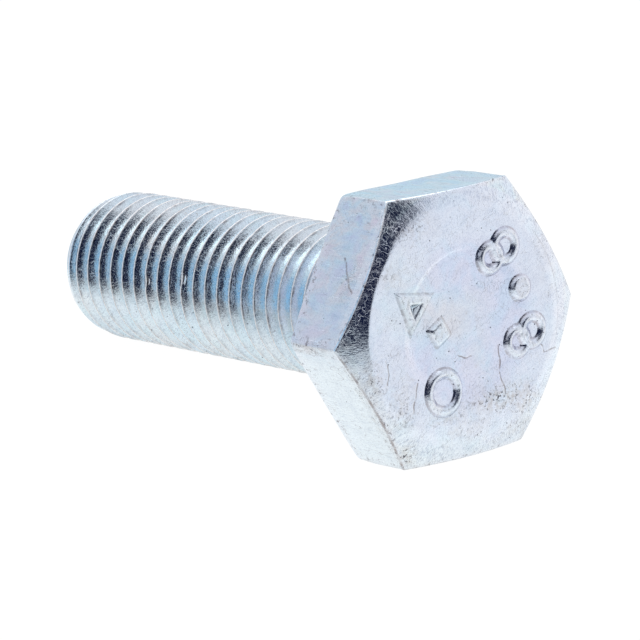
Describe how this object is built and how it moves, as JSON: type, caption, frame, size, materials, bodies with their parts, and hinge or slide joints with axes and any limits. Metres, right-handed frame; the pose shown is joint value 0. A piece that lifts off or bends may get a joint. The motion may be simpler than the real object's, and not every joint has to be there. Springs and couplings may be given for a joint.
{
  "type": "hex bolt",
  "caption": "Hexagon head bolt with a fine right-hand thread running up to the head, zinc plated.",
  "frame": {"origin": "centre of the bearing face, the ring under the head that seats on the clamped part", "axes": "+X along the bolt's axis towards the head's top, so the thread runs to -X; +Z is the outward normal of one hexagon flat; +Y points at a hexagon corner"},
  "size_m": [0.0361, 0.0196, 0.017],
  "materials": {
    "zinc_plated_steel": "bright bluish zinc plate, satin, finely speckled"
  },
  "bodies": {
    "root": {"hex_head": "zinc_plated_steel", "washer_face": "zinc_plated_steel", "shank_core": "zinc_plated_steel", "thread_helix": "zinc_plated_steel", "thread_lead_in": "zinc_plated_steel", "grade_marks": "zinc_plated_steel", "identity_mark": "zinc_plated_steel"}
  },
  "joints": []
}
